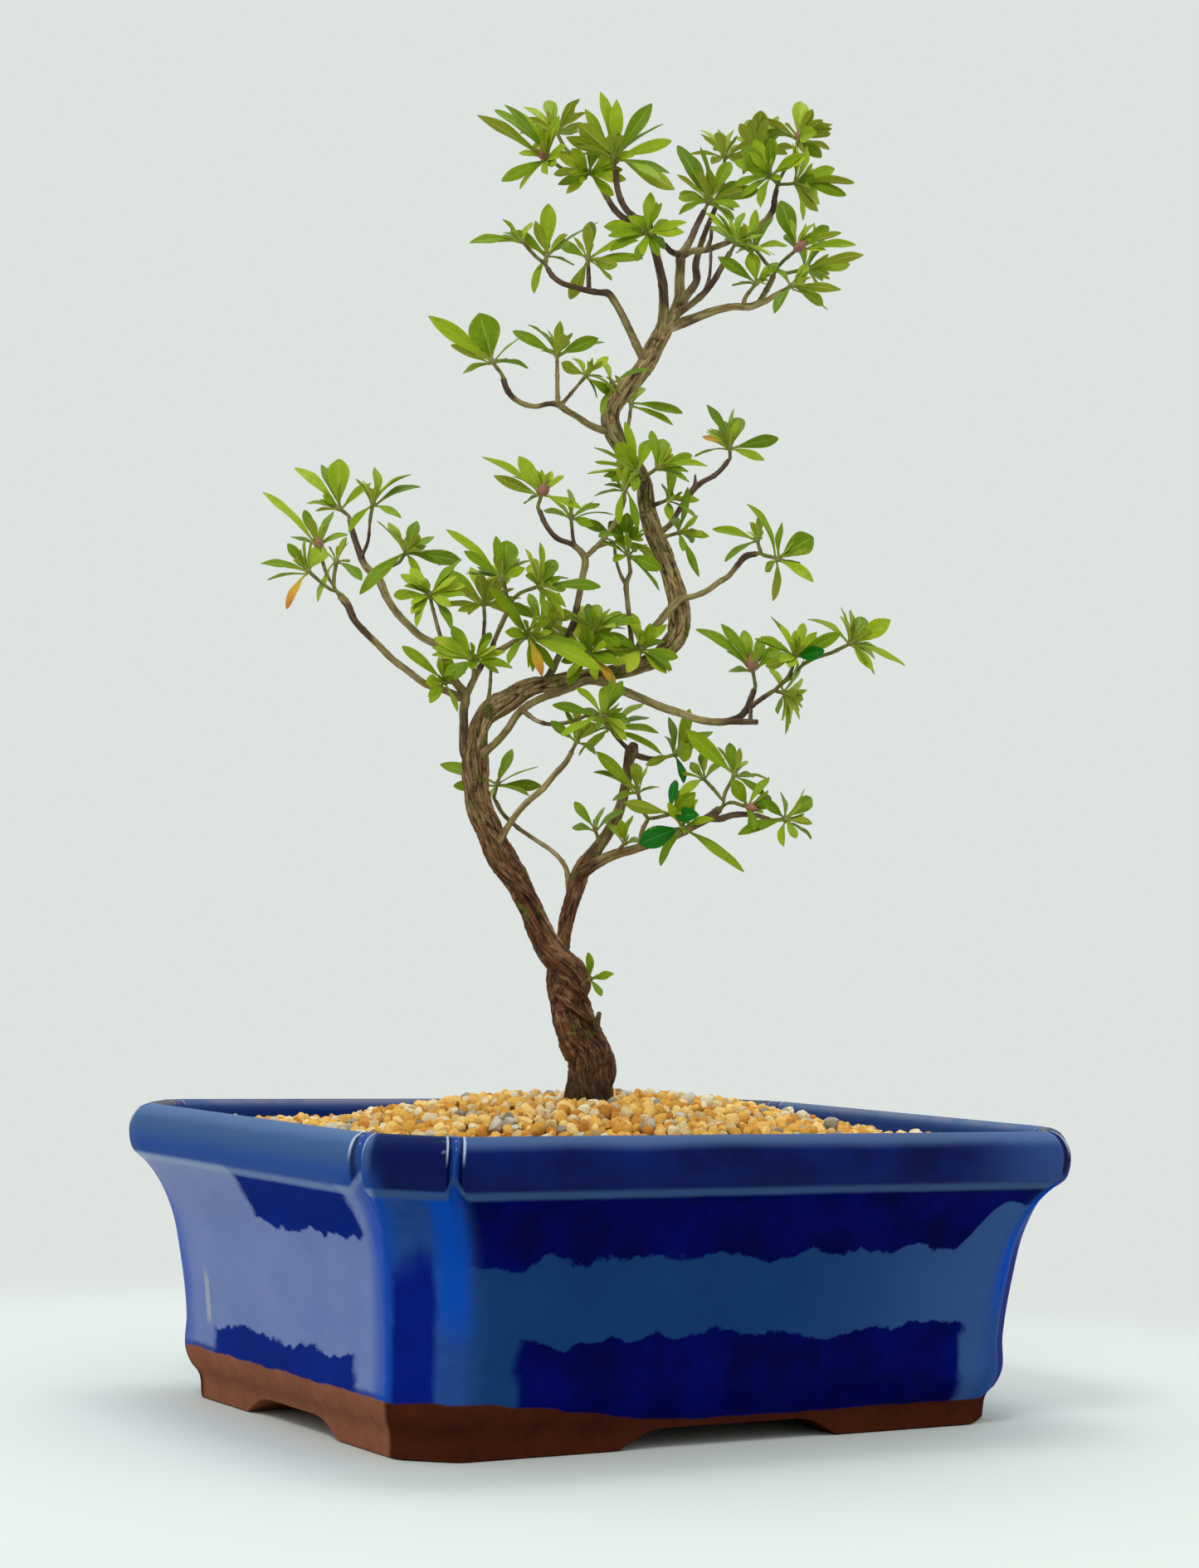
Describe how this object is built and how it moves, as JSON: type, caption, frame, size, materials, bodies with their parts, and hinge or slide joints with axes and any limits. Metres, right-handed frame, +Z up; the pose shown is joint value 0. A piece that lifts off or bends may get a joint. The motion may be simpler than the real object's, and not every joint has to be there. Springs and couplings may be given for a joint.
{
  "type": "satsuki azalea bonsai",
  "caption": "Satsuki azalea bonsai with a twisted forked trunk and leafy sprays, planted in gravel in a blue glazed stoneware pot with cut corners.",
  "frame": {"origin": "middle of the pot's foot, on the surface that it stands on", "axes": "+Z up, +X along the pot's long side, +Y along its short side; the tree's front faces the corner between -X and -Y"},
  "size_m": [0.26, 0.2, 0.4315],
  "materials": {
    "glaze": "glossy cobalt blue glaze, with bare red-brown clay at the foot",
    "screen": "black plastic mesh",
    "soil": "granular brown soil",
    "gravel": "rough yellow, cream and grey grains",
    "bark": "ridged grey-brown bark",
    "leaf": "satin yellow-green leaves, paler below"
  },
  "bodies": {
    "root": {"pot": "glaze", "screen_left": "screen", "screen_right": "screen", "soil": "soil", "gravel": "gravel", "trunk": "bark", "leaves_crown_centre": "leaf", "leaves_crown_left": "leaf", "leaves_crown_low": "leaf", "leaves_crown_mid": "leaf", "leaves_crown_back": "leaf", "leaves_crown_four": "leaf", "leaves_crown_right": "leaf", "leaves_right_front": "leaf", "leaves_right_fork": "leaf", "leaves_right_small": "leaf", "leaves_left_low_crown": "leaf", "leaves_left_low_crown_2": "leaf", "leaves_fork_left": "leaf", "leaves_fork_up": "leaf", "leaves_fork_right": "leaf", "leaves_upper_right": "leaf", "leaves_upper_left": "leaf", "leaves_bend_front": "leaf", "leaves_bend_right": "leaf", "leaves_bend_right_2": "leaf", "leaves_mid_left": "leaf", "leaves_mid_small": "leaf", "leaves_mid_top": "leaf", "leaves_mid_right": "leaf", "leaves_mid_drop": "leaf", "leaves_centre": "leaf", "leaves_centre_right": "leaf", "leaves_heart": "leaf", "leaves_heart_left": "leaf", "leaves_heart_right": "leaf", "leaves_left_inner": "leaf", "leaves_left_elbow": "leaf", "leaves_left_round": "leaf", "leaves_left_top": "leaf", "leaves_left_shoot": "leaf", "leaves_left_crotch": "leaf", "leaves_left_end": "leaf", "leaves_low_left_tip": "leaf", "leaves_behind_trunk": "leaf", "leaves_middle_cluster": "leaf", "leaves_knob_left": "leaf", "leaves_knob_right": "leaf", "leaves_low_middle": "leaf", "leaves_low_right": "leaf", "leaves_low_right_end": "leaf", "leaves_low_front": "leaf", "leaves_long_shoot": "leaf", "leaves_right_tuft": "leaf", "leaves_mid_right_up": "leaf", "leaves_mid_right_low": "leaf", "leaves_low_spur": "leaf", "leaves_low_spur_2": "leaf", "leaves_trunk_leaves": "leaf"}
  },
  "joints": []
}
